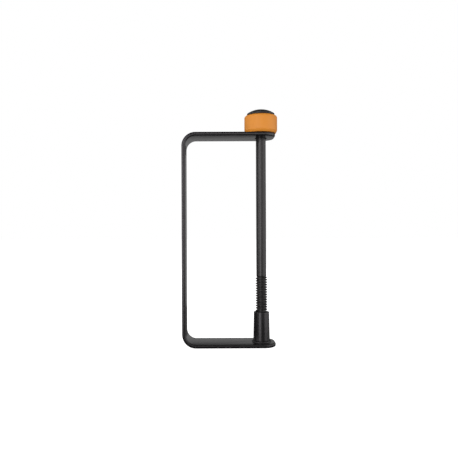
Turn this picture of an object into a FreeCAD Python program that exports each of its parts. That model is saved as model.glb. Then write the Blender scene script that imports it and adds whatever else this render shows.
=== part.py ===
# Closed-loop strap clamp: a flat-bar bracket bent to a C, closed by a long clamp bolt.
# The bolt hangs through the upper leg, turned by a round knob, and screws into a
# tapered boss welded to the lower leg.
# Frame: origin on the bolt's axis at the underside of the lower leg, +Z up along the
# bolt, +X from the spine of the bracket towards the ends of its legs. Millimetres.
import FreeCAD, Part
import math
import os

V = FreeCAD.Vector
UP = V(0, 0, 1)

# Bracket, bent from flat bar
bar_thickness = 3.0
bar_width = 30.0
bracket_height = 171.0
spine_reach = 64.0            # bolt axis to the outer face of the spine
tip_reach = 11.0              # bolt axis to the ends of the legs
bend_inner_radius = 8.0
tip_corner_radius = 11.0      # rounding of each leg's end in plan
bar_arris_radius = 1.0        # rolled bar with well rounded edges

# Clamp bolt
shank_diameter = 8.0
thread_major_diameter = 9.3
thread_minor_diameter = 7.2
thread_pitch = 2.0
thread_crest_width = 0.75
thread_root_width = 1.45
thread_length_above_boss = 29.0
thread_end_chamfer = 0.9
head_across_flats = 13.0
head_height = 5.3
leg_hole_clearance = 0.3      # all round the thread, so that the bolt can be drawn out

# Threaded boss and its weld
boss_height = 24.2
boss_base_diameter = 13.4
boss_top_diameter = 12.3
boss_edge_radius = 0.7
spigot_diameter = 10.0
spigot_clearance = 0.05
bore_floor = 1.2              # metal left under the bore, above the leg's upper face
bolt_end_clearance = 0.6
thread_clearance = 0.13       # between bolt thread and boss thread, square to each face
weld_leg = 1.2

# Knob
knob_diameter = 26.5
knob_top_height = 15.1        # above the upper leg
knob_top_radius = 1.9
knob_chamfer_height = 2.3
knob_chamfer_inset = 1.1
knob_edge_radius = 0.8
hub_diameter = 18.0
hub_standoff = 0.1            # hub below the underside of the grip
knob_bore_clearance = 0.1
knob_floor_thickness = 5.3
head_clearance = 0.1

# Cap pressed into the top of the knob
cap_rim_diameter = 22.3
cap_rim_height = 1.65
cap_dome_radius = 20.0
cap_edge_radius = 0.35
cap_wall = 1.5
cap_skirt_diameter = 18.6
cap_skirt_depth = 2.0
cap_skirt_clearance = 0.06
cap_bead = 0.18

# Washers
thrust_washer_thickness = 0.5
washer_bore_clearance = 0.05
seat_gap = 0.05               # running gap at each flat face that turns or lifts
push_ring_thickness = 0.8
push_ring_diameter = 14.0
push_ring_slots = 6
push_ring_slot_width = 0.9
push_ring_recess_clearance = 0.25

# Places that follow from the sizes above
leg_underside = bracket_height - bar_thickness
boss_top = bar_thickness + boss_height
bore_bottom = bar_thickness + bore_floor
bolt_end = bore_bottom + bolt_end_clearance
thread_top = boss_top + thread_length_above_boss
shank_radius = shank_diameter / 2
crest_radius = thread_major_diameter / 2
root_radius = thread_minor_diameter / 2
washer_bottom = bracket_height + seat_gap
washer_top = washer_bottom + thrust_washer_thickness
hub_bottom = washer_top + seat_gap
knob_underside = hub_bottom + hub_standoff
knob_top = bracket_height + knob_top_height
ring_bottom = hub_bottom + push_ring_recess_clearance
ring_top = ring_bottom + push_ring_thickness
head_seat = ring_top + knob_floor_thickness
head_top = head_seat + head_height
cap_shoulder = knob_top + seat_gap


def line(start, end):
    return Part.LineSegment(start, end).toShape()


def arc(start, middle, end):
    return Part.Arc(start, middle, end).toShape()


def corner_arc(centre_x, centre_z, radius, start_angle, end_angle):
    """Arc in the XZ plane about a centre, between two angles in degrees from +X."""
    angles = (start_angle, (start_angle + end_angle) / 2, end_angle)
    points = [V(centre_x + radius * math.cos(math.radians(a)), 0,
                centre_z + radius * math.sin(math.radians(a))) for a in angles]
    return arc(*points)


def at(radius, height):
    """A point of a turned profile."""
    return V(radius, 0, height)


def turned(edges):
    """Solid turned about the bolt's axis from a closed chain of profile edges."""
    face = Part.Face(Part.Wire(edges))
    return Part.makeSolid(face.revolve(V(0, 0, 0), UP, 360))


def turned_polygon(points):
    closed = points + [points[0]]
    return turned([line(a, b) for a, b in zip(closed, closed[1:])])


def cylinder(radius, bottom, top):
    return Part.makeCylinder(radius, top - bottom, V(0, 0, bottom))


def hexagon_prism(across_flats, bottom, top):
    corner_radius = across_flats / math.sqrt(3)
    corners = [V(corner_radius * math.cos(math.radians(60 * k)),
                 corner_radius * math.sin(math.radians(60 * k)), bottom) for k in range(7)]
    return Part.Face(Part.makePolygon(corners)).extrude(V(0, 0, top - bottom))


def thread_ridge(crest, root, crest_width, root_width, bottom, top):
    """Right-hand helical ridge of trapezoid section.

    Every ridge starts a whole number of pitches from the frame's zero height, so the
    bolt's thread lies in the middle of the boss's groove.
    """
    start = thread_pitch * math.floor(bottom / thread_pitch)
    sink = 0.2
    slope = (root_width - crest_width) / 2 / (crest - root)
    foot_half_width = root_width / 2 + slope * sink
    profile = Part.makePolygon([
        at(root - sink, start - foot_half_width),
        at(crest, start - crest_width / 2),
        at(crest, start + crest_width / 2),
        at(root - sink, start + foot_half_width),
        at(root - sink, start - foot_half_width),
    ])
    taper_angle = 0
    helix = Part.makeLongHelix(thread_pitch, top - start, crest, taper_angle)
    helix.translate(V(0, 0, start))
    return Part.Wire(helix.Edges).makePipeShell([profile], True, True)


def bent_bar():
    """C-shaped section of the bracket in the XZ plane, given its width along Y."""
    outer = bend_inner_radius + bar_thickness
    inner = bend_inner_radius
    spine_outer = -spine_reach
    spine_inner = bar_thickness - spine_reach
    bend_x = spine_outer + outer
    low_bend_z = outer
    high_bend_z = bracket_height - outer
    edges = [
        line(at(tip_reach, 0), at(bend_x, 0)),
        corner_arc(bend_x, low_bend_z, outer, 270, 180),
        line(at(spine_outer, low_bend_z), at(spine_outer, high_bend_z)),
        corner_arc(bend_x, high_bend_z, outer, 180, 90),
        line(at(bend_x, bracket_height), at(tip_reach, bracket_height)),
        line(at(tip_reach, bracket_height), at(tip_reach, leg_underside)),
        line(at(tip_reach, leg_underside), at(bend_x, leg_underside)),
        corner_arc(bend_x, high_bend_z, inner, 90, 180),
        line(at(spine_inner, high_bend_z), at(spine_inner, low_bend_z)),
        corner_arc(bend_x, low_bend_z, inner, 180, 270),
        line(at(bend_x, bar_thickness), at(tip_reach, bar_thickness)),
        line(at(tip_reach, bar_thickness), at(tip_reach, 0)),
    ]
    section = Part.Face(Part.Wire(edges))
    section.translate(V(0, -bar_width / 2, 0))
    return section.extrude(V(0, bar_width, 0))


def strap_frame():
    bar = bent_bar()
    tip_edges = [edge for edge in bar.Edges
                 if edge.BoundBox.XMin > tip_reach - 0.01 and edge.BoundBox.ZLength > 0.01]
    bar = bar.makeFillet(tip_corner_radius, tip_edges)
    arrises = [edge for edge in bar.Edges
               if edge.BoundBox.XMin > -spine_reach - 1 and not is_across(edge)]
    bar = bar.makeFillet(bar_arris_radius, arrises)
    bolt_hole_radius = crest_radius + leg_hole_clearance
    for radius, bottom, top in (
            (bolt_hole_radius, leg_underside, bracket_height),
            (spigot_diameter / 2 + spigot_clearance, 0, bar_thickness)):
        bar = bar.cut(cylinder(radius, bottom - 1, top + 1))
    return bar


def is_across(edge):
    """True for an edge that only joins the front of the bar to its back or its two faces."""
    box = edge.BoundBox
    straight_across = box.XLength < 0.01 and box.ZLength < 0.01
    through_thickness = box.XLength < 0.01 and box.YLength < 0.01
    return straight_across or (through_thickness and box.ZLength < bar_thickness + 0.01)


def boss_radius_at(height):
    share = (height - bar_thickness) / boss_height
    return (boss_base_diameter + (boss_top_diameter - boss_base_diameter) * share) / 2


def threaded_boss():
    spigot = spigot_diameter / 2
    top = boss_top_diameter / 2
    body = turned_polygon([
        at(0, 0),
        at(spigot, 0),
        at(spigot, bar_thickness),
        at(boss_base_diameter / 2, bar_thickness),
        at(top, boss_top),
        at(0, boss_top),
    ])
    rim = [edge for edge in body.Edges
           if edge.BoundBox.ZMin > boss_top - 0.01 and edge.BoundBox.XMax > top - 0.01]
    body = body.makeFillet(boss_edge_radius, rim)
    groove_radius = crest_radius + thread_clearance
    bore_radius = root_radius + thread_clearance
    body = body.cut(cylinder(bore_radius, bore_bottom, boss_top + 1))
    groove = thread_ridge(groove_radius, bore_radius,
                          thread_crest_width + 2 * thread_clearance,
                          thread_root_width + 2 * thread_clearance,
                          bore_bottom, boss_top + 2 * thread_pitch)
    groove = groove.common(cylinder(groove_radius + 1, bore_bottom, boss_top + 1))
    body = body.cut(groove)
    countersink_depth = groove_radius - bore_radius
    mouth = Part.makeCone(bore_radius, groove_radius + countersink_depth,
                          2 * countersink_depth, V(0, 0, boss_top - countersink_depth))
    return body.cut(mouth)


def boss_weld_bead():
    """Fillet weld all round the foot of the boss, slightly crowned."""
    foot = bar_thickness
    toe = boss_base_diameter / 2
    head = boss_radius_at(foot + weld_leg)
    crown = 0.62 * weld_leg
    return turned([
        line(at(toe, foot), at(toe + weld_leg, foot)),
        arc(at(toe + weld_leg, foot), at(toe + crown, foot + crown), at(head, foot + weld_leg)),
        line(at(head, foot + weld_leg), at(toe, foot)),
    ])


def clamp_bolt():
    neck = shank_radius - root_radius
    core = turned_polygon([
        at(0, bolt_end),
        at(root_radius, bolt_end),
        at(root_radius, thread_top - neck),
        at(shank_radius, thread_top),
        at(shank_radius, head_seat),
        at(0, head_seat),
    ])
    ridge = thread_ridge(crest_radius, root_radius, thread_crest_width, thread_root_width,
                         bolt_end - thread_pitch, thread_top + thread_pitch)
    start_radius = crest_radius - thread_end_chamfer
    outside = crest_radius + thread_end_chamfer
    taper = outside - start_radius
    envelope = turned_polygon([
        at(0, bolt_end),
        at(start_radius, bolt_end),
        at(outside, bolt_end + taper),
        at(outside, thread_top - taper),
        at(start_radius, thread_top),
        at(0, thread_top),
    ])
    thread = ridge.common(envelope)
    return core.fuse(thread).fuse(bolt_head())


def bolt_head():
    """Hexagon head with its corners turned away at the top and bottom."""
    corner_radius = head_across_flats / math.sqrt(3)
    bevel = corner_radius - head_across_flats / 2
    rise = bevel * math.tan(math.radians(30))
    outline = turned_polygon([
        at(0, head_seat),
        at(corner_radius, head_seat),
        at(corner_radius, head_top - rise),
        at(head_across_flats / 2, head_top),
        at(0, head_top),
    ])
    return hexagon_prism(head_across_flats, head_seat, head_top).common(outline)


def knob_body():
    radius = knob_diameter / 2
    hub = hub_diameter / 2
    foot = radius - knob_chamfer_inset
    chamfer_top = knob_underside + knob_chamfer_height
    shoulder = radius - knob_top_radius
    blank = turned([
        line(at(0, hub_bottom), at(hub, hub_bottom)),
        line(at(hub, hub_bottom), at(hub, knob_underside)),
        line(at(hub, knob_underside), at(foot, knob_underside)),
        line(at(foot, knob_underside), at(radius, chamfer_top)),
        line(at(radius, chamfer_top), at(radius, knob_top - knob_top_radius)),
        corner_arc(shoulder, knob_top - knob_top_radius, knob_top_radius, 0, 90),
        line(at(shoulder, knob_top), at(0, knob_top)),
        line(at(0, knob_top), at(0, hub_bottom)),
    ])
    chamfer_edges = [edge for edge in blank.Edges
                     if is_ring(edge) and edge.BoundBox.XMax > hub + 0.01
                     and knob_underside - 0.01 < edge.BoundBox.ZMin < chamfer_top + 0.01]
    knob = blank.makeFillet(knob_edge_radius, chamfer_edges)
    socket_radius = cap_skirt_diameter / 2 + cap_skirt_clearance
    socket_bottom = cap_shoulder - cap_skirt_depth - seat_gap
    knob = knob.cut(cylinder(shank_radius + knob_bore_clearance, hub_bottom - 1, knob_top + 1))
    knob = knob.cut(hexagon_prism(head_across_flats + 2 * head_clearance, head_seat, knob_top + 1))
    knob = knob.cut(cylinder(socket_radius, socket_bottom, knob_top + 1))
    knob = knob.cut(snap_bead(cap_skirt_clearance))
    return knob.cut(cylinder(push_ring_diameter / 2 + push_ring_recess_clearance,
                             hub_bottom - 1, ring_top))


def is_ring(edge):
    return edge.BoundBox.ZLength < 0.01 and edge.BoundBox.XLength > 1


def snap_bead(clearance):
    """Ring of half-round section low on the cap's skirt, or the groove it clicks into."""
    middle = cap_shoulder - cap_skirt_depth / 2
    return Part.makeTorus(cap_skirt_diameter / 2, cap_bead + clearance, V(0, 0, middle))


def knob_cap():
    """Domed cap, hollow below, with a rim that rests on the knob and a skirt inside it."""
    rim = cap_rim_diameter / 2
    skirt = cap_skirt_diameter / 2
    apex = cap_shoulder + cap_rim_height + dome_rise(cap_dome_radius, rim)
    skirt_bottom = cap_shoulder - cap_skirt_depth
    ball_centre = V(0, 0, apex - cap_dome_radius)
    poles_sideways = V(1, 0, 0)
    dome = Part.makeSphere(cap_dome_radius, ball_centre, poles_sideways).common(
        cylinder(rim, cap_shoulder, apex + 1))
    rim_edges = [edge for edge in dome.Edges
                 if is_ring(edge) and edge.BoundBox.XMax > rim - 0.01]
    dome = dome.makeFillet(cap_edge_radius, rim_edges)
    hollow = Part.makeSphere(cap_dome_radius - cap_wall, ball_centre, poles_sideways).common(
        cylinder(skirt - cap_wall, skirt_bottom - 1, apex))
    return dome.fuse(cylinder(skirt, skirt_bottom, cap_shoulder)).cut(hollow).fuse(snap_bead(0))


def dome_rise(sphere_radius, reach):
    """How far a sphere falls from its top at a distance from its axis."""
    return sphere_radius - math.sqrt(sphere_radius ** 2 - reach ** 2)


def thrust_washer():
    bore = shank_radius + washer_bore_clearance
    rim = hub_diameter / 2
    edge = 0.15
    return turned_polygon([
        at(bore, washer_bottom),
        at(rim - edge, washer_bottom),
        at(rim, washer_bottom + edge),
        at(rim, washer_top - edge),
        at(rim - edge, washer_top),
        at(bore, washer_top),
    ])


def push_on_ring():
    """Spring-steel ring pushed up the shank, with teeth between slots that grip it."""
    ring = cylinder(push_ring_diameter / 2, ring_bottom, ring_top)
    ring = ring.cut(cylinder(shank_radius, ring_bottom - 1, ring_top + 1))
    slot_end = (shank_radius + push_ring_diameter / 2) / 2
    for k in range(push_ring_slots):
        slot = Part.makeBox(slot_end, push_ring_slot_width, push_ring_thickness + 2,
                            V(0, -push_ring_slot_width / 2, ring_bottom - 1))
        slot.rotate(V(0, 0, 0), UP, 360 / push_ring_slots * k)
        ring = ring.cut(slot)
    return ring


def main():
    os.makedirs("parts", exist_ok=True)
    pieces = {
        "strap_frame": strap_frame(),
        "threaded_boss": threaded_boss(),
        "boss_weld_bead": boss_weld_bead(),
        "clamp_bolt": clamp_bolt(),
        "thrust_washer": thrust_washer(),
        "knob_body": knob_body(),
        "knob_cap": knob_cap(),
        "knob_retaining_ring": push_on_ring(),
    }
    for name, shape in pieces.items():
        shape.exportStep("parts/" + name + ".step")
        box = shape.BoundBox
        print(name, "solids", len(shape.Solids), "valid", shape.isValid(),
              "volume", round(shape.Volume, 2), "z", round(box.ZMin, 2), round(box.ZMax, 2))


main()
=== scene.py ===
import math

import bmesh
import bpy
from bpy.props import FloatProperty, FloatVectorProperty, IntProperty, PointerProperty
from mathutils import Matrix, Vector


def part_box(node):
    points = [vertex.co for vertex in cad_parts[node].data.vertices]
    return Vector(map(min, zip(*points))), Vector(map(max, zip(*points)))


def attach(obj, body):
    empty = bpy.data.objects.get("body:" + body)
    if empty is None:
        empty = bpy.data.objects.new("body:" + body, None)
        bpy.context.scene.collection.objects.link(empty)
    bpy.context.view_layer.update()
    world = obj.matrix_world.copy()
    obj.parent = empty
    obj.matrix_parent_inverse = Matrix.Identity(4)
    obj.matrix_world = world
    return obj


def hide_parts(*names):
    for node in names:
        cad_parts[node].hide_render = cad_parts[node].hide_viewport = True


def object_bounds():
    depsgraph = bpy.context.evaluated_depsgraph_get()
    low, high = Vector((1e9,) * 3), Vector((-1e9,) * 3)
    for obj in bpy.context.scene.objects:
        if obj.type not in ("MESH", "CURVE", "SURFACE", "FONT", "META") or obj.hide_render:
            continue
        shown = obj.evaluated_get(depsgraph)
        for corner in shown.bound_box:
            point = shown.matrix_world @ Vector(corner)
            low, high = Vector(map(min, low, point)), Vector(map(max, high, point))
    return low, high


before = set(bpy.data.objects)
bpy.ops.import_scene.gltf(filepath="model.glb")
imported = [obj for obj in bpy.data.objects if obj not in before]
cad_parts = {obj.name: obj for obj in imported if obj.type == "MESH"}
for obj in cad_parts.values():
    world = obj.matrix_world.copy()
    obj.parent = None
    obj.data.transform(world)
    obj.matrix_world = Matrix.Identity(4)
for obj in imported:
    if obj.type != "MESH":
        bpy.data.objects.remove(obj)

bl_info = {
    "name": "Strap clamp with clamp bolt",
    "version": (1, 0, 0),
    "blender": (4, 5, 0),
    "location": "3D View > Sidebar > Strap Clamp",
    "description": "Models and finishes a bent flat-bar clamp, its clamp bolt, knob and cap",
    "category": "Object",
}

CAD_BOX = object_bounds()
MM = 0.001
QUARTER_TURN = math.pi / 2
FULL_TURN = 2 * math.pi
SENSOR_WIDTH = 36.0           # in millimetres, as the focal length
UP = Vector((0, 0, 1))

# Sides and steps that round shapes are made of
ROUND_SIDES = 96
KNOB_SIDES = 160
HOLE_SIDES = 64
DOME_RINGS = 180
THREAD_STEPS = 48             # in each turn
TIP_STEPS = 14
TOP_STEPS = 10
ARRIS_STEPS = 6
EDGE_STEPS = 4

# Distances that are too small to see
NEAR = 0.02 * MM              # apart by less than this, two places are one
DOUBLE = 0.002 * MM           # vertices nearer than this are merged
SNAP = 0.0001 * MM            # so small that a cut pulls no vertex onto itself
OVERLAP = 0.01 * MM           # sinks one shape into the next so that they join

BAR_LOW, BAR_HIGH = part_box("strap_frame")
BEAD_LOW, BEAD_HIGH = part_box("boss_weld_bead")
BOLT_LOW, BOLT_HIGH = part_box("clamp_bolt")
WASHER_LOW, WASHER_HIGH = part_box("thrust_washer")
KNOB_LOW, KNOB_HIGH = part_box("knob_body")
CAP_LOW, CAP_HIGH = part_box("knob_cap")
BOSS_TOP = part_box("threaded_boss")[1].z
RING_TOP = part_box("knob_retaining_ring")[1].z


def width_across(low, high):
    """Width along Y of a box, from its two corners."""
    return high.y - low.y


# ---------------------------------------------------------------- sizes and colours

def length(label, text, default):
    return FloatProperty(name=label, description=text, default=default,
                         min=0.0, subtype="DISTANCE", unit="LENGTH")


def colour(label, text, default):
    return FloatVectorProperty(name=label, description=text, default=default,
                               size=3, min=0.0, max=1.0, subtype="COLOR")


def brightness(label, default):
    return FloatProperty(name=label, description="Brightness of its face, 1 being white",
                         default=default, min=0.0)


class BracketSizes(bpy.types.PropertyGroup):
    """Sizes of the bent flat bar."""
    thickness: length("Bar thickness", "Thickness of the flat bar", 3.0 * MM)
    bend_radius: length("Bend radius", "Radius inside each bend", 8.0 * MM)
    tip_radius: length("Tip radius", "Rounding of each leg's end in plan", 11.0 * MM)
    arris: length("Arris", "Rounding of the bar's long edges", 1.0 * MM)
    swell: length("Bend swell", "How far the bar's edges swell out at the inside of a bend", 0.12 * MM)
    bolt_hole: length("Bolt hole radius", "Hole in the upper leg for the bolt", 4.95 * MM)
    spigot_hole: length("Spigot hole radius", "Hole in the lower leg for the boss", 5.05 * MM)
    bend_steps: IntProperty(name="Bend steps", description="Sections round each bend",
                            default=18, min=4)


class BoltSizes(bpy.types.PropertyGroup):
    """Sizes of the clamp bolt."""
    shank: length("Shank radius", "Radius of the plain shank", 4.0 * MM)
    crest: length("Thread crest radius", "Radius over the thread", 4.65 * MM)
    root: length("Thread root radius", "Radius in the thread's root", 3.6 * MM)
    pitch: length("Thread pitch", "Rise of the thread in one turn", 2.0 * MM)
    crest_width: length("Crest width", "Flat on the thread's crest", 0.74 * MM)
    root_width: length("Ridge width", "Width of the thread's ridge at its root", 1.42 * MM)
    rounding: length("Thread rounding", "Softening of the rolled thread's corners", 0.11 * MM)
    thread_top: length("Thread top", "Height where the thread runs out",
                       BOSS_TOP + 29.0 * MM)
    lead_in: length("Lead-in", "Length of the taper at the bolt's tip", 1.4 * MM)
    tip_cut: length("Tip cut", "How far the crests are cut down at the tip", 0.9 * MM)
    run_out: length("Run-out", "Length over which the thread runs out", 1.6 * MM)
    head_height: length("Head height", "Height of the hexagon head", 5.3 * MM)
    head_bevel: length("Head bevel", "Bevel of the head's upper edges", 0.4 * MM)


class KnobSizes(bpy.types.PropertyGroup):
    """Sizes of the knob and its cap."""
    chamfer_height: length("Chamfer height", "Height of the chamfer below the grip", 2.3 * MM)
    chamfer_inset: length("Chamfer inset", "How far the chamfer runs in below the grip", 1.1 * MM)
    top_round: length("Upper rounding", "Rounding of the knob's upper edge", 1.9 * MM)
    edge_round: length("Edge rounding", "Softening of the chamfer's two edges", 0.45 * MM)
    hub_drop: length("Hub drop", "How far the hub stands below the knob's underside", 0.1 * MM)
    bore: length("Bore radius", "Hole for the bolt", 4.1 * MM)
    head_play: length("Head play", "Clearance round the bolt's head in its pocket", 0.1 * MM)
    ring_recess: length("Ring recess", "Radius of the recess for the push-on ring", 7.25 * MM)
    socket: length("Cap socket radius", "Round socket that takes the cap's skirt", 9.36 * MM)
    socket_depth: length("Cap socket depth", "Depth of the socket", 2.0 * MM)
    dome_radius: length("Dome radius", "Radius of the cap's dome", 20.0 * MM)
    brow_edge: length("Cap brow", "Softening between the cap's dome and its rim", 0.35 * MM)
    rim_edge: length("Cap edge", "Rounding under the cap's rim", 0.95 * MM)
    cap_wall: length("Cap wall", "Wall of the cap and its skirt", 1.5 * MM)
    crown_fill: length("Crown fill", "Extra wall under the dome, which is flat inside", 1.9 * MM)
    skirt_play: length("Skirt play", "Clearance round the cap's skirt in its socket", 0.06 * MM)
    seat_gap: length("Seat gap", "Gap under the cap's rim", 0.05 * MM)


class FinishColours(bpy.types.PropertyGroup):
    """Colours of the finishes."""
    coat: colour("Powder coat", "Black powder coat of bracket and boss", (0.0070, 0.0065, 0.0068))
    oxide: colour("Black oxide", "Blackened steel of the bolt", (0.0068, 0.0063, 0.0060))
    worn_steel: colour("Worn steel", "Steel that shows on rubbed thread crests", (0.035, 0.033, 0.028))
    orange: colour("Knob orange", "Moulded plastic of the knob", (0.90, 0.325, 0.035))
    cap: colour("Cap black", "Moulded plastic of the cap", (0.022, 0.021, 0.021))
    nylon: colour("Nylon", "Thrust washer", (0.035, 0.035, 0.034))
    spring_steel: colour("Spring steel", "Push-on ring", (0.42, 0.42, 0.43))
    floor: colour("Floor", "Pale floor", (0.92, 0.92, 0.92))


class StageSettings(bpy.types.PropertyGroup):
    """Camera, lights and floor."""
    camera_distance: length("Camera distance", "From the bolt's axis along Y", 0.4433)
    camera_side: FloatProperty(name="Camera side", description="Camera's place along X",
                               default=-0.0424, subtype="DISTANCE", unit="LENGTH")
    camera_height: length("Camera height", "Above the underside of the lower leg", 0.0923)
    focal_length: FloatProperty(name="Focal length",
                                description=f"On a {SENSOR_WIDTH:.0f} mm sensor",
                                default=42.80, min=1.0)
    roll: FloatProperty(name="Roll", description="Clockwise tilt about the line of sight",
                        default=math.radians(0.23), subtype="ANGLE", unit="ROTATION")
    shift_x: FloatProperty(name="Shift X", description="Sideways lens shift", default=0.0436)
    shift_y: FloatProperty(name="Shift Y", description="Upward lens shift", default=0.0056)
    light_distance: length("Light distance", "From the middle of the clamp to each softbox", 0.9)
    front_left_light: brightness("Front left softbox", 3.55)
    left_light: brightness("Left softbox", 2.8)
    rear_left_light: brightness("Rear left softbox", 1.2)
    front_light: brightness("Front softbox", 1.75)
    right_light: brightness("Right softbox", 2.0)
    rear_right_light: brightness("Rear right softbox", 1.2)
    back_light: brightness("Back card", 0.27)
    room: brightness("Room", 0.09)
    floor_size: length("Floor size", "Length and width of the floor", 12.0)
    floor_gap: length("Floor gap", "Between the clamp and the floor", 0.05 * MM)
    floor_glow: FloatProperty(name="Floor glow", description="Light given by the light table",
                              default=1.12, min=0.0)


# ---------------------------------------------------------------- modelling

def deselect():
    """Leaves edit mode with nothing selected."""
    if bpy.context.mode != "OBJECT":
        bpy.ops.object.mode_set(mode="OBJECT")
    bpy.ops.object.select_all(action="DESELECT")


def named(name):
    """Names the primitive that was just added."""
    piece = bpy.context.object
    piece.name = name
    piece.data.name = name
    return piece


def select_only(piece):
    deselect()
    bpy.context.view_layer.objects.active = piece
    piece.select_set(True)


def apply_place():
    """Takes the active object's place, turn and scale into its mesh."""
    bpy.ops.object.transform_apply(location=True, rotation=True, scale=True)


def edit(piece):
    """Opens a piece in edit mode with nothing selected."""
    select_only(piece)
    bpy.ops.object.mode_set(mode="EDIT")
    bpy.ops.mesh.select_all(action="DESELECT")


def pick(piece, kind, test):
    """Selects the verts, edges or faces of the piece being edited that pass a test."""
    modes = ("verts", "edges", "faces")
    bpy.ops.mesh.select_all(action="DESELECT")
    bpy.context.tool_settings.mesh_select_mode = tuple(kind == m for m in modes)
    mesh = bmesh.from_edit_mesh(piece.data)
    count = 0
    for item in getattr(mesh, kind):
        if test(item):
            item.select_set(True)
            count += 1
    mesh.select_flush_mode()
    bmesh.update_edit_mesh(piece.data)
    if not count:
        raise RuntimeError(f"nothing to select on {piece.name}")


def middle(item):
    return sum((v.co for v in item.verts), Vector()) / len(item.verts)


def reach(point):
    """Distance from the bolt's axis."""
    return math.hypot(point.x, point.y)


def at_height(height):
    """Test for an edge or face that lies level at a height."""
    return lambda item: all(abs(v.co.z - height) < NEAR for v in item.verts)


def level_ring(height, radius):
    """Test for an edge of the level circle at a height and a distance from the axis."""
    return lambda item: all(abs(v.co.z - height) < NEAR
                            and abs(reach(v.co) - radius) < NEAR for v in item.verts)


def faces_out(direction, face):
    """True where a face points the given way, to within about 8 degrees."""
    return face.normal.dot(direction) > 0.99


def is_end_cap(face):
    """True for a face with many corners, as the flat end of a turned shape has."""
    return len(face.verts) > 8


def extrude(move):
    bpy.ops.mesh.extrude_region_move(TRANSFORM_OT_translate={"value": move})


def bevel(offset, segments):
    bpy.ops.mesh.bevel(offset=offset, segments=segments, profile=0.5, affect="EDGES")


def slice_off(height, side, fill=True):
    """Cuts the selected mesh level at a height and drops what lies to one side."""
    bpy.ops.mesh.bisect(plane_co=(0, 0, height), plane_no=side, clear_outer=True,
                        use_fill=fill, threshold=SNAP)


def add_modifier(piece, kind, **settings):
    """Adds a modifier, sets it and applies it."""
    modifier = piece.modifiers.new(kind.lower(), kind)
    for key, value in settings.items():
        setattr(modifier, key, value)
    select_only(piece)
    bpy.ops.object.modifier_apply(modifier=modifier.name)


def combine(piece, tool, operation):
    """Joins a tool to a piece or cuts it away, and uses the tool up."""
    add_modifier(piece, "BOOLEAN", operation=operation, object=tool, solver="EXACT")
    bpy.data.objects.remove(tool)


def settle(piece, crease_degrees=32):
    """Merges doubles, turns normals outward, applies the place and smooths by angle."""
    edit(piece)
    bpy.ops.mesh.select_all(action="SELECT")
    bpy.ops.mesh.remove_doubles(threshold=DOUBLE)
    bpy.ops.mesh.normals_make_consistent(inside=False)
    select_only(piece)
    apply_place()
    bpy.ops.object.shade_smooth_by_angle(angle=math.radians(crease_degrees))
    deselect()


def drum(name, radius, low, high, sides=ROUND_SIDES):
    """Upright cylinder about the bolt's axis."""
    deselect()
    bpy.ops.mesh.primitive_cylinder_add(
        vertices=sides, radius=radius, depth=high - low,
        location=(0, 0, (low + high) / 2), end_fill_type="NGON")
    piece = named(name)
    apply_place()
    return piece


def inset_to(piece, height, direction, from_radius, to_radius):
    """Insets the level end face at a height, from one radius to a smaller one."""
    pick(piece, "faces", lambda f: faces_out(direction, f)
         and abs(middle(f).z - height) < NEAR and reach(middle(f)) < NEAR)
    bpy.ops.mesh.inset(thickness=from_radius - to_radius, depth=0)


# ---------------------------------------------------------------- shader maths

# Where the Mix node keeps its colour sockets
MIX_COLOUR_A = 6
MIX_COLOUR_B = 7
MIX_COLOUR_RESULT = 2


class Signal:
    """A shader socket that takes part in Python arithmetic."""

    def __init__(self, finish, socket):
        self.finish = finish
        self.socket = socket

    def math(self, operation, *others):
        operands = dict(enumerate((self, *others)))
        return self.finish.node("Math", {"operation": operation}, operands)

    def __add__(self, other):
        return self.math("ADD", other)

    def __sub__(self, other):
        return self.math("SUBTRACT", other)

    def __mul__(self, other):
        return self.math("MULTIPLY", other)

    def __pow__(self, other):
        return self.math("POWER", other)

    def __neg__(self):
        return self.math("MULTIPLY", -1.0)

    def __rsub__(self, other):
        return -self + other

    __radd__ = __add__
    __rmul__ = __mul__


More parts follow.
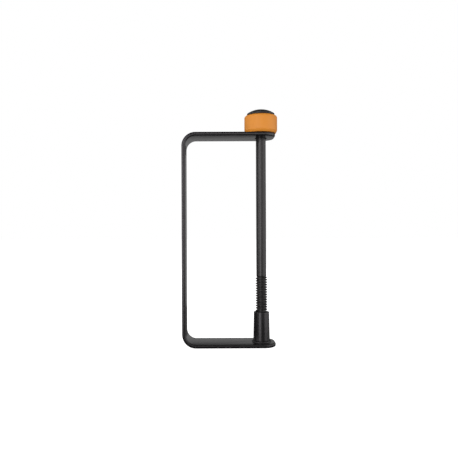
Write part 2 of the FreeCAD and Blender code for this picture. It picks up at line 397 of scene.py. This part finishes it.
class Finish:
    """A material being built from nodes, with its principled shader ready."""

    def __init__(self, name):
        self.material = bpy.data.materials.new(name)
        self.material.use_nodes = True
        self.tree = self.material.node_tree
        self.shader = next(n for n in self.tree.nodes if n.type == "BSDF_PRINCIPLED")

    def node(self, kind, settings=None, inputs=None, output=0):
        """Adds a node: its type, its settings, then the values or links of its sockets."""
        node = self.tree.nodes.new("ShaderNode" + kind)
        for key, value in (settings or {}).items():
            setattr(node, key, value)
        for key, value in (inputs or {}).items():
            self.feed(node.inputs[key], value)
        return Signal(self, node.outputs[output])

    def feed(self, socket, value):
        """Links a signal to a socket, or sets the socket's own value."""
        if isinstance(value, Signal):
            self.tree.links.new(value.socket, socket)
        elif socket.type == "RGBA" and len(value) == 3:
            socket.default_value = (*value, 1.0)
        else:
            socket.default_value = value

    def set(self, **sockets):
        """Feeds the principled shader's sockets, named with underscores for spaces."""
        for key, value in sockets.items():
            self.feed(self.shader.inputs[key.replace("_", " ")], value)
        return self.material

    def place(self, stretch=(1, 1, 1)):
        """Object coordinates, stretched along each axis."""
        here = self.node("TexCoord", output="Object")
        return self.node("Mapping", {"vector_type": "POINT"}, {"Vector": here, "Scale": stretch})

    def noise(self, place, per_metre, detail=2.0, roughness=0.5):
        """Cloudy noise from 0 to 1, with so many lumps to the metre."""
        return self.node("TexNoise", {}, {"Vector": place, "Scale": per_metre,
                                          "Detail": detail, "Roughness": roughness})

    def between(self, value, low, high):
        """0 where a value is below low, 1 above high, smooth in between."""
        return self.node("MapRange", {"interpolation_type": "SMOOTHSTEP"},
                         {"Value": value, "From Min": low, "From Max": high})

    def spread(self, value, low, high):
        """A 0 to 1 value taken to the range from low to high."""
        return value * (high - low) + low

    def mix(self, factor, first, second):
        """A colour between two others."""
        sockets = {"Factor": factor, MIX_COLOUR_A: first, MIX_COLOUR_B: second}
        return self.node("Mix", {"data_type": "RGBA"}, sockets, output=MIX_COLOUR_RESULT)

    def axes(self, place):
        """The three coordinates of a place, each as a value."""
        parts = self.node("SeparateXYZ", {}, {"Vector": place})
        return [Signal(self, s) for s in parts.socket.node.outputs]

    def bump(self, height, depth):
        return self.node("Bump", {}, {"Strength": 1.0, "Distance": depth, "Height": height})


def tinted(base, factor):
    """A colour made lighter or darker."""
    return tuple(min(1.0, c * factor) for c in base)


POWDER_COAT = "powder_coat_black"


def powder_coat(colours):
    """Black powder coat: orange peel, fine grain and a slow drift in gloss."""
    finish = Finish(POWDER_COAT)
    place = finish.place()
    peel = finish.noise(place, per_metre=620.0, detail=1.0)
    grain = finish.noise(place, per_metre=3600.0)
    drift = finish.noise(place, per_metre=38.0, detail=3.0, roughness=0.55)
    handled = finish.noise(place, per_metre=150.0, detail=5.0, roughness=0.62)
    rub = finish.between(handled, low=0.56, high=0.74)
    darker, lighter, rubbed = (tinted(colours.coat, factor) for factor in (0.85, 1.3, 2.2))
    base = finish.mix(finish.spread(drift, low=0.1, high=0.9), darker, lighter)
    base = finish.mix(rub * 0.35, base, rubbed)
    return finish.set(
        Base_Color=base,
        Roughness=finish.spread(drift, low=0.18, high=0.26) - rub * 0.03,
        Specular_IOR_Level=0.42,
        Specular_Tint=(1.0, 0.95, 0.99),
        Normal=finish.bump(peel * 0.8 + grain * 0.2, depth=0.035 * MM))


def black_oxide(colours, sizes):
    """Blackened steel: drawn lengthwise, rubbed lighter on the thread's crests."""
    finish = Finish("bolt_black_oxide")
    place = finish.place()
    x, y, z = finish.axes(place)
    radius = (x * x + y * y) ** 0.5
    drawn = finish.place(stretch=(1.0, 1.0, 0.03))
    streaks = finish.noise(drawn, per_metre=2600.0, detail=3.0)
    blotch = finish.noise(place, per_metre=90.0, detail=4.0, roughness=0.6)
    threaded = 1.0 - finish.between(z, sizes.thread_top - 0.5 * MM, sizes.thread_top)
    crests = finish.between(radius, sizes.crest - 0.22 * MM, sizes.crest - 0.04 * MM)
    rubbed = crests * threaded * finish.spread(blotch, low=0.1, high=0.55)
    base = finish.mix(blotch, tinted(colours.oxide, 0.85), tinted(colours.oxide, 1.35))
    base = finish.mix(rubbed, base, colours.worn_steel)
    drawn_gloss = finish.spread(streaks, low=0.20, high=0.29)
    return finish.set(
        Base_Color=base,
        Roughness=drawn_gloss + threaded * 0.12 - rubbed * 0.08,
        Specular_IOR_Level=0.4,
        Specular_Tint=(1.0, 0.96, 0.98),
        Normal=finish.bump(streaks, depth=0.012 * MM))


def moulded(name, base, rough_low, rough_high, grain_depth):
    """Moulded plastic: spark-eroded grain, faint scuffs and a slow drift in colour."""
    finish = Finish(name)
    upright = finish.place(stretch=(1.0, 1.0, 0.4))
    sideways = finish.place(stretch=(1.0, 1.0, 4.0))
    grain = finish.noise(finish.place(), per_metre=2600.0, roughness=0.6)
    drift = finish.noise(upright, per_metre=75.0, detail=3.0)
    handled = finish.noise(sideways, per_metre=210.0, detail=6.0, roughness=0.65)
    scuffs = finish.between(handled, low=0.6, high=0.78)
    tone = finish.mix(drift, tinted(base, 0.96), tinted(base, 1.04))
    tone = finish.mix(scuffs * 0.25, tone, tinted(base, 0.9))
    return finish.set(
        Base_Color=tone,
        Roughness=finish.spread(drift, rough_low, rough_high) + scuffs * 0.05,
        Specular_IOR_Level=0.4,
        Normal=finish.bump(grain, grain_depth))


def spring_steel(colours):
    """Bright spring steel with blanking marks."""
    finish = Finish("spring_steel")
    blanked = finish.place(stretch=(1.0, 0.05, 1.0))
    lines = finish.noise(blanked, per_metre=1800.0, detail=3.0)
    tone = finish.mix(lines, tinted(colours.spring_steel, 0.8), colours.spring_steel)
    return finish.set(
        Base_Color=tone,
        Metallic=1.0,
        Roughness=finish.spread(lines, low=0.25, high=0.4),
        Normal=finish.bump(lines, depth=0.01 * MM))


def light_table(colours, glow):
    """Pale floor of a light table: matt, faintly mottled and lit from below."""
    finish = Finish("stage_light_table")
    cloud = finish.noise(finish.place(), per_metre=3.0)
    tone = finish.mix(cloud, tinted(colours.floor, 0.985), colours.floor)
    return finish.set(
        Base_Color=tone,
        Roughness=0.7,
        Specular_IOR_Level=0.2,
        Emission_Color=tone,
        Emission_Strength=glow)


def paint(piece, material):
    piece.data.materials.clear()
    piece.data.materials.append(material)


def coat_of(context):
    """The powder coat that the bracket, the boss and the weld share."""
    ready = bpy.data.materials.get(POWDER_COAT)
    return ready or powder_coat(context.scene.clamp_colours)


# ---------------------------------------------------------------- operators

class CLAMP_OT_bracket(bpy.types.Operator):
    """Bend the flat bar to a C, round its leg ends and coat it"""
    bl_idname = "clamp.bracket"
    bl_label = "Bent bracket"

    def execute(self, context):
        sizes = context.scene.clamp_bracket
        bend_x = BAR_LOW.x + sizes.thickness + sizes.bend_radius
        bend_low = BAR_LOW.z + sizes.thickness + sizes.bend_radius
        bend_high = BAR_HIGH.z - sizes.thickness - sizes.bend_radius
        bar = self.lower_leg(sizes, bend_x)
        self.bend(sizes, bend_x, bend_low)
        extrude((0, 0, bend_high - bend_low))
        self.bend(sizes, bend_x, bend_high)
        extrude((BAR_HIGH.x - bend_x, 0, 0))
        self.round_tips(bar, sizes)
        self.swell_bends(bar, sizes, bend_x, bend_low, bend_high)
        add_modifier(bar, "BEVEL", width=sizes.arris, segments=ARRIS_STEPS,
                     limit_method="ANGLE", angle_limit=math.radians(55))
        for radius, low in ((sizes.bolt_hole, BAR_HIGH.z - sizes.thickness),
                            (sizes.spigot_hole, BAR_LOW.z)):
            high = low + sizes.thickness
            hole = drum("hole", radius, low - MM, high + MM, HOLE_SIDES)
            combine(bar, hole, "DIFFERENCE")
        settle(bar)
        paint(bar, coat_of(context))
        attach(bar, "bracket")
        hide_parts("strap_frame")
        paint(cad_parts["threaded_boss"], coat_of(context))
        return {"FINISHED"}

    def lower_leg(self, sizes, bend_x):
        """Block from the leg's end to the first bend, with its bend end selected."""
        deselect()
        centre = ((BAR_HIGH.x + bend_x) / 2, 0, BAR_LOW.z + sizes.thickness / 2)
        extent = (BAR_HIGH.x - bend_x, width_across(BAR_LOW, BAR_HIGH), sizes.thickness)
        bpy.ops.mesh.primitive_cube_add(size=1.0, location=centre, scale=extent)
        bar = named("bent_bracket")
        apply_place()
        edit(bar)
        pick(bar, "faces", lambda f: faces_out(Vector((-1, 0, 0)), f))
        return bar

    def bend(self, sizes, bend_x, bend_z):
        """Spins the selected end a quarter turn about a bend's centre."""
        bpy.ops.mesh.spin(steps=sizes.bend_steps, angle=-QUARTER_TURN,
                          center=(bend_x, 0, bend_z), axis=(0, 1, 0))

    def round_tips(self, bar, sizes):
        """Rounds the four upright corners at the ends of the two legs."""
        pick(bar, "edges", lambda e: all(v.co.x > BAR_HIGH.x - NEAR for v in e.verts)
             and abs(e.verts[0].co.z - e.verts[1].co.z) > sizes.thickness / 2)
        bevel(sizes.tip_radius, TIP_STEPS)

    def swell_bends(self, bar, sizes, bend_x, bend_low, bend_high):
        """Draws the bar's edges in by the swell everywhere but inside the bends."""
        deselect()
        for vertex in bar.data.vertices:
            spot = vertex.co
            if abs(abs(spot.y) - BAR_HIGH.y) > NEAR:
                continue
            fade = 0.0
            if spot.x < bend_x and not bend_low <= spot.z <= bend_high:
                rise = spot.z - min(max(spot.z, bend_low), bend_high)
                depth = math.hypot(spot.x - bend_x, rise) - sizes.bend_radius
                squeeze = max(0.0, 1.0 - depth / sizes.thickness)
                angle = math.atan2(abs(rise), bend_x - spot.x)
                fade = math.sin(2 * angle) * squeeze
            spot.y -= math.copysign(sizes.swell * (1.0 - fade), spot.y)


class CLAMP_OT_weld(bpy.types.Operator):
    """Lay a rippled weld bead round the foot of the boss"""
    bl_idname = "clamp.weld"
    bl_label = "Weld bead"

    ripples = 34
    sections = 8 * ripples
    points_round = 14
    fullness = 0.98               # of the height that the bead has in CAD
    ripple_depth = 0.16
    ripple_lag = 0.5              # how far a ripple's ends trail behind its middle
    ripple_softness = 0.98        # 1 would leave sharp valleys between the ripples
    wander_depth = 0.04
    wander_start = 0.7

    def execute(self, context):
        foot = BEAD_LOW.z
        small = (BEAD_HIGH.z - foot) * self.fullness
        major = BEAD_HIGH.x - small
        deselect()
        bpy.ops.mesh.primitive_torus_add(
            location=(0, 0, foot), major_radius=major, minor_radius=small,
            major_segments=self.sections, minor_segments=self.points_round)
        bead = named("weld_bead")
        apply_place()
        self.ripple(bead, foot, major, small)
        edit(bead)
        bpy.ops.mesh.select_all(action="SELECT")
        slice_off(foot, -UP, fill=False)
        pick(bead, "edges", lambda e: e.is_boundary)
        bpy.ops.mesh.bridge_edge_loops()
        settle(bead, crease_degrees=60)
        paint(bead, coat_of(context))
        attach(bead, "bracket")
        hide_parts("boss_weld_bead")
        return {"FINISHED"}

    def ripple(self, bead, foot, major, small):
        """Scallops the bead as a torch leaves it, each ripple a shallow crescent."""
        for vertex in bead.data.vertices:
            spot = vertex.co
            angle = math.atan2(spot.y, spot.x)
            outward = reach(spot) - major
            up = spot.z - foot
            lag = self.ripple_lag * (outward / small) ** 2
            phase = (angle * self.ripples / FULL_TURN + lag) % 1.0
            crescent = math.sqrt(1.0 - (2 * phase - 1) ** 2 * self.ripple_softness)
            shrink = 1.0 - self.ripple_depth * (1.0 - crescent)
            wander = 1.0 - self.wander_depth * (1 + math.sin(3 * angle + self.wander_start)) / 2
            radius = major + outward * shrink * wander
            spot.x = radius * math.cos(angle)
            spot.y = radius * math.sin(angle)
            spot.z = foot + up * shrink * wander


class CLAMP_OT_bolt(bpy.types.Operator):
    """Turn the clamp bolt with its rolled thread and hexagon head"""
    bl_idname = "clamp.bolt"
    bl_label = "Clamp bolt"

    def execute(self, context):
        sizes = context.scene.clamp_bolt
        screw = self.thread(sizes)
        combine(screw, self.shank(sizes), "UNION")
        combine(screw, self.head(sizes), "UNION")
        settle(screw)
        paint(screw, black_oxide(context.scene.clamp_colours, sizes))
        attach(screw, "bolt")
        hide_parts("clamp_bolt")
        return {"FINISHED"}

    def shank(self, sizes):
        """Plain shank, with a short cone down to the thread's root."""
        shank = drum("shank", sizes.shank, sizes.thread_top, BOLT_HIGH.z - sizes.head_height)
        edit(shank)
        pick(shank, "faces", lambda f: faces_out(-UP, f))
        neck = sizes.shank - sizes.root
        extrude((0, 0, -neck))
        narrowing = sizes.root / sizes.shank
        bpy.ops.transform.resize(value=(narrowing, narrowing, 1.0),
                                 center_override=(0, 0, sizes.thread_top - neck))
        deselect()
        return shank

    def thread(self, sizes):
        """One pitch of rounded profile, screwed up the bolt and trimmed at both ends."""
        deselect()
        bottom = BOLT_LOW.z
        start = math.floor(bottom / sizes.pitch - 1) * sizes.pitch
        turns = math.ceil((sizes.thread_top + sizes.pitch - start) / sizes.pitch)
        bpy.ops.mesh.primitive_plane_add(size=MM, location=(sizes.root, 0, start))
        thread = named("clamp_screw")
        apply_place()
        edit(thread)
        pick(thread, "verts", lambda v: True)
        bpy.ops.mesh.merge(type="CENTER")
        for across, up in self.profile_steps(sizes):
            bpy.ops.mesh.extrude_vertices_move(TRANSFORM_OT_translate={"value": (across, 0, up)})
        deselect()
        add_modifier(thread, "SCREW", angle=FULL_TURN, screw_offset=sizes.pitch,
                     iterations=turns, steps=THREAD_STEPS, render_steps=THREAD_STEPS)
        edit(thread)
        bpy.ops.mesh.select_all(action="SELECT")
        bpy.ops.mesh.remove_doubles(threshold=DOUBLE)
        deselect()
        self.fade_crest(thread, sizes, bottom)
        edit(thread)
        for height, side in ((bottom, -UP), (sizes.thread_top - NEAR, UP)):
            bpy.ops.mesh.select_all(action="SELECT")
            slice_off(height, side)
        bpy.ops.mesh.select_all(action="SELECT")
        bpy.ops.mesh.normals_make_consistent(inside=False)
        deselect()
        return thread

    def profile_steps(self, sizes):
        """Moves from point to point along one pitch of the thread's outline."""
        depth = sizes.crest - sizes.root
        flank = (sizes.root_width - sizes.crest_width) / 2
        soft = sizes.rounding
        toe = 0.3 * soft
        brow = 0.6 * soft
        half_floor = (sizes.pitch - sizes.root_width) / 2
        outward = [
            (0.0, half_floor - soft),
            (toe, soft),
            (depth - toe - soft, flank),
            (soft, brow),
        ]
        crest = (0.0, sizes.crest_width - 2 * brow)
        inward = [(-across, up) for across, up in reversed(outward)]
        return [*outward, crest, *inward]

    def fade_crest(self, thread, sizes, bottom):
        """Tapers the crests into the lead-in at the tip and the run-out at the shank."""
        lead_slope = sizes.tip_cut / sizes.lead_in
        run_out_slope = (sizes.crest - sizes.root) / sizes.run_out
        for vertex in thread.data.vertices:
            spot = vertex.co
            radius = reach(spot)
            above_tip = max(0.0, spot.z - bottom)
            below_top = max(0.0, sizes.thread_top - spot.z)
            limit = min(sizes.crest,
                        sizes.crest - sizes.tip_cut + above_tip * lead_slope,
                        sizes.root + below_top * run_out_slope)
            if radius > limit:
                spot.x *= limit / radius
                spot.y *= limit / radius

    def head(self, sizes):
        """Hexagon head with corners towards +X and -X, bevelled on top."""
        low = BOLT_HIGH.z - sizes.head_height
        head = drum("head", BOLT_HIGH.x, low - OVERLAP, BOLT_HIGH.z, sides=6)
        head.rotation_euler.z = FULL_TURN / 12
        select_only(head)
        apply_place()
        edit(head)
        pick(head, "edges", at_height(BOLT_HIGH.z))
        bevel(sizes.head_bevel, segments=2)
        deselect()
        return head


class CLAMP_OT_knob(bpy.types.Operator):
    """Turn the round knob, chamfered below, rounded above and bored for the bolt"""
    bl_idname = "clamp.knob"
    bl_label = "Knob"

    def execute(self, context):
        sizes = context.scene.clamp_knob
        radius = KNOB_HIGH.x
        underside = KNOB_LOW.z + sizes.hub_drop
        knob = drum("knob_grip", radius, underside, KNOB_HIGH.z, KNOB_SIDES)
        edit(knob)
        pick(knob, "edges", at_height(underside))
        bevel(sizes.chamfer_inset, segments=1)
        pick(knob, "edges", level_ring(underside + sizes.chamfer_inset, radius))
        bpy.ops.transform.translate(value=(0, 0, sizes.chamfer_height - sizes.chamfer_inset))
        for height, ring in ((underside, radius - sizes.chamfer_inset),
                             (underside + sizes.chamfer_height, radius)):
            pick(knob, "edges", level_ring(height, ring))
            bevel(sizes.edge_round, EDGE_STEPS)
        pick(knob, "edges", level_ring(KNOB_HIGH.z, radius))
        bevel(sizes.top_round, TOP_STEPS)
        self.open_top(knob, sizes, radius)
        self.open_bottom(knob, sizes, radius, underside)
        self.join_bores(knob, sizes)
        settle(knob, crease_degrees=34)
        orange = context.scene.clamp_colours.orange
        paint(knob, moulded("knob_orange_plastic", orange, rough_low=0.46, rough_high=0.56,
                            grain_depth=0.012 * MM))
        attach(knob, "bolt")
        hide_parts("knob_body")
        return {"FINISHED"}

    def open_top(self, knob, sizes, radius):
        """Socket for the cap, then the pocket that holds the bolt's head."""
        top = KNOB_HIGH.z
        inset_to(knob, top, UP, radius - sizes.top_round, sizes.socket)
        extrude((0, 0, -sizes.socket_depth))
        pocket = BOLT_HIGH.x + sizes.head_play
        bpy.ops.mesh.inset(thickness=sizes.socket - pocket, depth=0)
        head_seat = BOLT_HIGH.z - bpy.context.scene.clamp_bolt.head_height
        extrude((0, 0, head_seat - (top - sizes.socket_depth)))
        bpy.ops.mesh.inset(thickness=pocket - sizes.bore, depth=0)

    def open_bottom(self, knob, sizes, radius, underside):
        """Hub that runs on the washer, with its recess for the push-on ring."""
        hub = width_across(WASHER_LOW, WASHER_HIGH) / 2
        inset_to(knob, underside, -UP, radius - sizes.chamfer_inset - sizes.edge_round, hub)
        extrude((0, 0, KNOB_LOW.z - underside))
        bpy.ops.mesh.inset(thickness=hub - sizes.ring_recess, depth=0)
        extrude((0, 0, RING_TOP - KNOB_LOW.z))
        bpy.ops.mesh.inset(thickness=sizes.ring_recess - sizes.bore, depth=0)

    def join_bores(self, knob, sizes):
        """Deletes the two blind ends of the bore and bridges them."""
        def blind(face):
            in_bore = all(reach(v.co) < sizes.bore + NEAR for v in face.verts)
            return in_bore and is_end_cap(face)

        pick(knob, "faces", blind)
        bpy.ops.mesh.delete(type="ONLY_FACE")
        pick(knob, "edges", lambda e: e.is_boundary)
        bpy.ops.mesh.bridge_edge_loops()


class CLAMP_OT_cap(bpy.types.Operator):
    """Dome the cap, with its rim and the hollow skirt that presses into the knob"""
    bl_idname = "clamp.cap"
    bl_label = "Cap"

    def execute(self, context):
        sizes = context.scene.clamp_knob
        rim = CAP_HIGH.x
        skirt = sizes.socket - sizes.skirt_play
        shoulder = KNOB_HIGH.z + sizes.seat_gap
        hollow_top = CAP_HIGH.z - sizes.cap_wall - sizes.crown_fill
        cap = self.dome(sizes, rim, shoulder)
        edit(cap)
        pick(cap, "faces", lambda f: faces_out(-UP, f))
        bpy.ops.mesh.inset(thickness=rim - skirt, depth=0)
        extrude((0, 0, CAP_LOW.z - shoulder))
        bpy.ops.mesh.inset(thickness=sizes.cap_wall, depth=0)
        extrude((0, 0, hollow_top - CAP_LOW.z))
        brow = self.brow(sizes, rim)
        for height, rounding in ((shoulder, sizes.rim_edge), (brow, sizes.brow_edge)):
            pick(cap, "edges", level_ring(height, rim))
            bevel(rounding, EDGE_STEPS)
        settle(cap, crease_degrees=30)
        black = context.scene.clamp_colours.cap
        paint(cap, moulded("cap_black_plastic", black, rough_low=0.3, rough_high=0.4,
                           grain_depth=0.008 * MM))
        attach(cap, "bolt")
        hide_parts("knob_cap")
        return {"FINISHED"}

    def dome(self, sizes, rim, shoulder):
        """Upper slice of a ball, closed level at the shoulder."""
        deselect()
        bpy.ops.mesh.primitive_uv_sphere_add(
            segments=ROUND_SIDES, ring_count=DOME_RINGS, radius=sizes.dome_radius,
            location=(0, 0, CAP_HIGH.z - sizes.dome_radius))
        cap = named("knob_dome_cap")
        apply_place()
        brow = self.brow(sizes, rim)
        edit(cap)
        bpy.ops.mesh.select_all(action="SELECT")
        slice_off(brow, -UP)
        pick(cap, "faces", lambda f: faces_out(-UP, f) and is_end_cap(f))
        extrude((0, 0, shoulder - brow))
        deselect()
        return cap

    def brow(self, sizes, rim):
        """Height where the dome meets the rim."""
        return CAP_HIGH.z - sizes.dome_radius + math.sqrt(sizes.dome_radius ** 2 - rim ** 2)


class CLAMP_OT_washers(bpy.types.Operator):
    """Finish the thrust washer and the push-on ring"""
    bl_idname = "clamp.washers"
    bl_label = "Washer and ring"

    def execute(self, context):
        colours = context.scene.clamp_colours
        nylon = moulded("washer_nylon", colours.nylon, rough_low=0.42, rough_high=0.55,
                        grain_depth=0.006 * MM)
        paint(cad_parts["thrust_washer"], nylon)
        paint(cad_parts["knob_retaining_ring"], spring_steel(colours))
        return {"FINISHED"}


class CLAMP_OT_stage(bpy.types.Operator):
    """Set the light table, the studio lights and the camera"""
    bl_idname = "clamp.stage"
    bl_label = "Stage"

    # Each light's name and brightness setting, then its bearing from the camera's side
    # towards +X, its height, and the width and tallness that the clamp sees, in degrees
    lights = (
        ("front_left_softbox", "front_left_light", -26, 6, 36, 40),
        ("left_softbox", "left_light", -72, 6, 36, 26),
        ("rear_left_softbox", "rear_left_light", -110, 6, 36, 26),
        ("front_softbox", "front_light", 15, 6, 36, 26),
        ("right_softbox", "right_light", 63, 6, 50, 40),
        ("rear_right_softbox", "rear_right_light", 104, 6, 32, 40),
        ("back_card", "back_light", 180, 0, 50, 23),
    )

    def execute(self, context):
        settings = context.scene.clamp_stage
        self.floor(context.scene.clamp_colours, settings)
        self.surroundings(context.scene, settings.room)
        for name, brightness_setting, *angles in self.lights:
            glow = getattr(settings, brightness_setting)
            self.softbox(name, glow, settings.light_distance, *map(math.radians, angles))
        self.camera(context.scene, settings)
        context.scene.view_settings.view_transform = "Standard"
        return {"FINISHED"}

    def floor(self, colours, settings):
        """Light table just under the clamp, which lends it no light and no reflection."""
        deselect()
        bpy.ops.mesh.primitive_plane_add(size=settings.floor_size,
                                         location=(0, 0, CAD_BOX[0].z - settings.floor_gap))
        floor = named("floor")
        apply_place()
        paint(floor, light_table(colours, settings.floor_glow))
        floor.visible_glossy = False
        floor.visible_diffuse = False

    def surroundings(self, scene, room):
        """A white backdrop to look at, in a studio that is dim for the clamp to reflect."""
        world = bpy.data.worlds.new("studio")
        world.use_nodes = True
        tree = world.node_tree
        background = next(n for n in tree.nodes if n.type == "BACKGROUND")
        background.inputs["Color"].default_value = (1.0, 1.0, 1.0, 1.0)
        rays = tree.nodes.new("ShaderNodeLightPath")
        seen = tree.nodes.new("ShaderNodeMix")
        seen.inputs["A"].default_value = room
        seen.inputs["B"].default_value = 1.0
        tree.links.new(rays.outputs["Is Camera Ray"], seen.inputs["Factor"])
        tree.links.new(seen.outputs[0], background.inputs["Strength"])
        scene.world = world

    def softbox(self, name, glow, distance, bearing, height, width, tallness):
        """Area light aimed at the middle of the clamp. All four angles are in radians."""
        lamp = bpy.data.lights.new(name, "AREA")
        lamp.shape = "RECTANGLE"
        lamp.size = 2 * distance * math.tan(width / 2)
        lamp.size_y = 2 * distance * math.tan(tallness / 2)
        lamp.energy = glow * math.pi * lamp.size * lamp.size_y
        light = bpy.data.objects.new(name, lamp)
        bpy.context.scene.collection.objects.link(light)
        way = Vector((math.sin(bearing) * math.cos(height),
                      -math.cos(bearing) * math.cos(height),
                      math.sin(height)))
        light.location = (CAD_BOX[0] + CAD_BOX[1]) / 2 + distance * way
        light.rotation_euler = way.to_track_quat("Z", "Y").to_euler()
        light.visible_camera = False

    def camera(self, scene, settings):
        """Camera a little left of the bolt, looking along +Y with a slight roll."""
        lens = bpy.data.cameras.new("camera")
        lens.sensor_width = SENSOR_WIDTH
        lens.lens = settings.focal_length
        lens.shift_x = settings.shift_x
        lens.shift_y = settings.shift_y
        lens.clip_start = 0.01
        lens.clip_end = 50.0
        camera = bpy.data.objects.new("camera", lens)
        scene.collection.objects.link(camera)
        camera.location = (settings.camera_side, -settings.camera_distance,
                           settings.camera_height)
        camera.rotation_euler = (QUARTER_TURN, settings.roll, 0)
        scene.camera = camera


class CLAMP_PT_panel(bpy.types.Panel):
    """Lists the clamp's pieces and their sizes"""
    bl_idname = "CLAMP_PT_panel"
    bl_label = "Strap Clamp"
    bl_space_type = "VIEW_3D"
    bl_region_type = "UI"
    bl_category = "Strap Clamp"

    def draw(self, context):
        layout = self.layout
        for operator in OPERATORS:
            layout.operator(operator.bl_idname)
        for title, name in GROUPS:
            box = layout.box()
            box.label(text=title)
            group = getattr(context.scene, name)
            for key in group.__annotations__:
                box.prop(group, key)


OPERATORS = (CLAMP_OT_bracket, CLAMP_OT_weld, CLAMP_OT_bolt, CLAMP_OT_knob, CLAMP_OT_cap,
             CLAMP_OT_washers, CLAMP_OT_stage)
GROUPS = (("Bracket", "clamp_bracket"), ("Bolt", "clamp_bolt"), ("Knob and cap", "clamp_knob"),
          ("Colours", "clamp_colours"), ("Stage", "clamp_stage"))
SETTINGS = (BracketSizes, BoltSizes, KnobSizes, FinishColours, StageSettings)


def register():
    for group_class, (_, name) in zip(SETTINGS, GROUPS):
        bpy.utils.register_class(group_class)
        setattr(bpy.types.Scene, name, PointerProperty(type=group_class))
    for operator in OPERATORS:
        bpy.utils.register_class(operator)
    bpy.utils.register_class(CLAMP_PT_panel)


def unregister():
    bpy.utils.unregister_class(CLAMP_PT_panel)
    for operator in reversed(OPERATORS):
        bpy.utils.unregister_class(operator)
    for group_class, (_, name) in zip(SETTINGS, GROUPS):
        delattr(bpy.types.Scene, name)
        bpy.utils.unregister_class(group_class)


def main():
    register()
    bpy.ops.clamp.bracket()
    bpy.ops.clamp.weld()
    bpy.ops.clamp.bolt()
    bpy.ops.clamp.knob()
    bpy.ops.clamp.cap()
    bpy.ops.clamp.washers()
    bpy.ops.clamp.stage()


if __name__ == "__main__":
    main()
